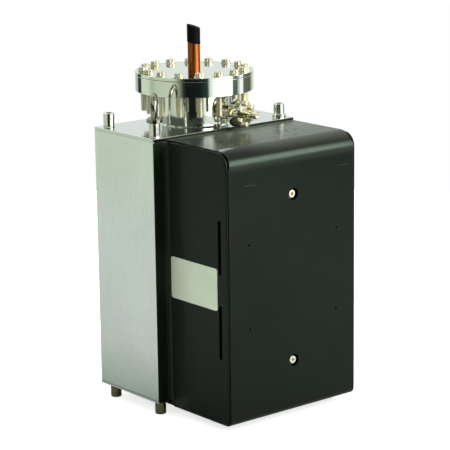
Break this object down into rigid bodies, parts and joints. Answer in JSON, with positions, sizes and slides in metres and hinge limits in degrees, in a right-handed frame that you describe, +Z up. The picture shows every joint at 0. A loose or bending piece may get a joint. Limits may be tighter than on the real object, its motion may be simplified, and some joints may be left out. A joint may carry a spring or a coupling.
{
  "type": "ion pump",
  "caption": "Sputter ion pump: welded vessel on round feet, knife-edge inlet flange closed by a plate with a pinch-off tube, magnets in a dark sheet cover, side feedthrough, lifting eye.",
  "frame": {"origin": "on the floor, midway between the four feet of the vessel and under the axis of the neck", "axes": "+Z up along the neck's axis, +X to the right, -Y to the front, where the cover is"},
  "size_m": [0.2325, 0.2518, 0.484],
  "materials": {
    "satin_stainless": "satin ground stainless steel",
    "polished_stainless": "bright turned stainless steel",
    "bright_steel": "bright machined steel",
    "copper": "clean drawn copper",
    "cap_rubber": "smooth black rubber",
    "dark_paint": "dark semi-gloss paint",
    "label_metal": "matt aluminium",
    "white_ceramic": "alumina",
    "ferrite": "sintered ferrite",
    "yoke_iron": "plated soft iron",
    "titanium": "rolled titanium"
  },
  "bodies": {
    "base": {"anode_left": "bright_steel", "anode_right": "bright_steel", "cathodes_left": "titanium", "cathodes_right": "titanium", "ceramic_stands_left": "white_ceramic", "ceramic_stands_right": "white_ceramic", "clamp_screws": "bright_steel", "clamp_standoffs": "bright_steel", "connector_insulator": "white_ceramic", "connector_pin": "bright_steel", "connector_shell": "polished_stainless", "cover_side_left": "dark_paint", "cover_side_right": "dark_paint", "cover_wrap": "dark_paint", "element_frames_left": "bright_steel", "element_frames_right": "bright_steel", "feedthrough_bolts": "bright_steel", "feedthrough_flange": "polished_stainless", "feedthrough_gasket": "copper", "feedthrough_nipple": "polished_stainless", "flange_bolts": "bright_steel", "foot_front_left": "bright_steel", "foot_front_right": "bright_steel", "foot_rear_left": "bright_steel", "foot_rear_right": "bright_steel", "high_voltage_bus": "bright_steel", "inlet_flange": "polished_stainless", "inlet_gasket": "copper", "magnet_foot_left": "bright_steel", "magnet_foot_right": "bright_steel", "magnet_left": "ferrite", "magnet_middle": "ferrite", "magnet_right": "ferrite", "magnet_spacer": "label_metal", "neck_tube": "polished_stainless", "nipple_flange": "polished_stainless", "pinch_off_tube": "copper", "pocket_left": "satin_stainless", "pocket_right": "satin_stainless", "post_collar": "bright_steel", "post_front_left": "bright_steel", "post_front_right": "bright_steel", "post_rear_left": "bright_steel", "post_rear_right": "bright_steel", "rating_plate": "label_metal", "shipping_plate": "polished_stainless", "vessel_bottom_plate": "satin_stainless", "vessel_front_wall": "satin_stainless", "vessel_left_wall": "satin_stainless", "vessel_rear_wall": "satin_stainless", "vessel_right_wall": "satin_stainless", "vessel_top_plate": "polished_stainless", "yoke_base": "yoke_iron", "yoke_front": "yoke_iron", "yoke_left": "yoke_iron", "yoke_right": "yoke_iron", "yoke_screws": "bright_steel"},
    "cap": {"pinch_off_cap": "cap_rubber"},
    "eyebolt": {"lifting_eyebolt": "bright_steel"}
  },
  "joints": [
    {"name": "cap_pull_off", "type": "slide", "parent": "base", "child": "cap", "axis": [0, 0, 1], "range_m": [0, 0.03]},
    {"name": "eyebolt_turn", "type": "hinge", "parent": "base", "child": "eyebolt", "pos_m": [-0.1015, -0.0475, 0.376], "axis": [0, 0, 1], "range_deg": [0, 360]}
  ]
}
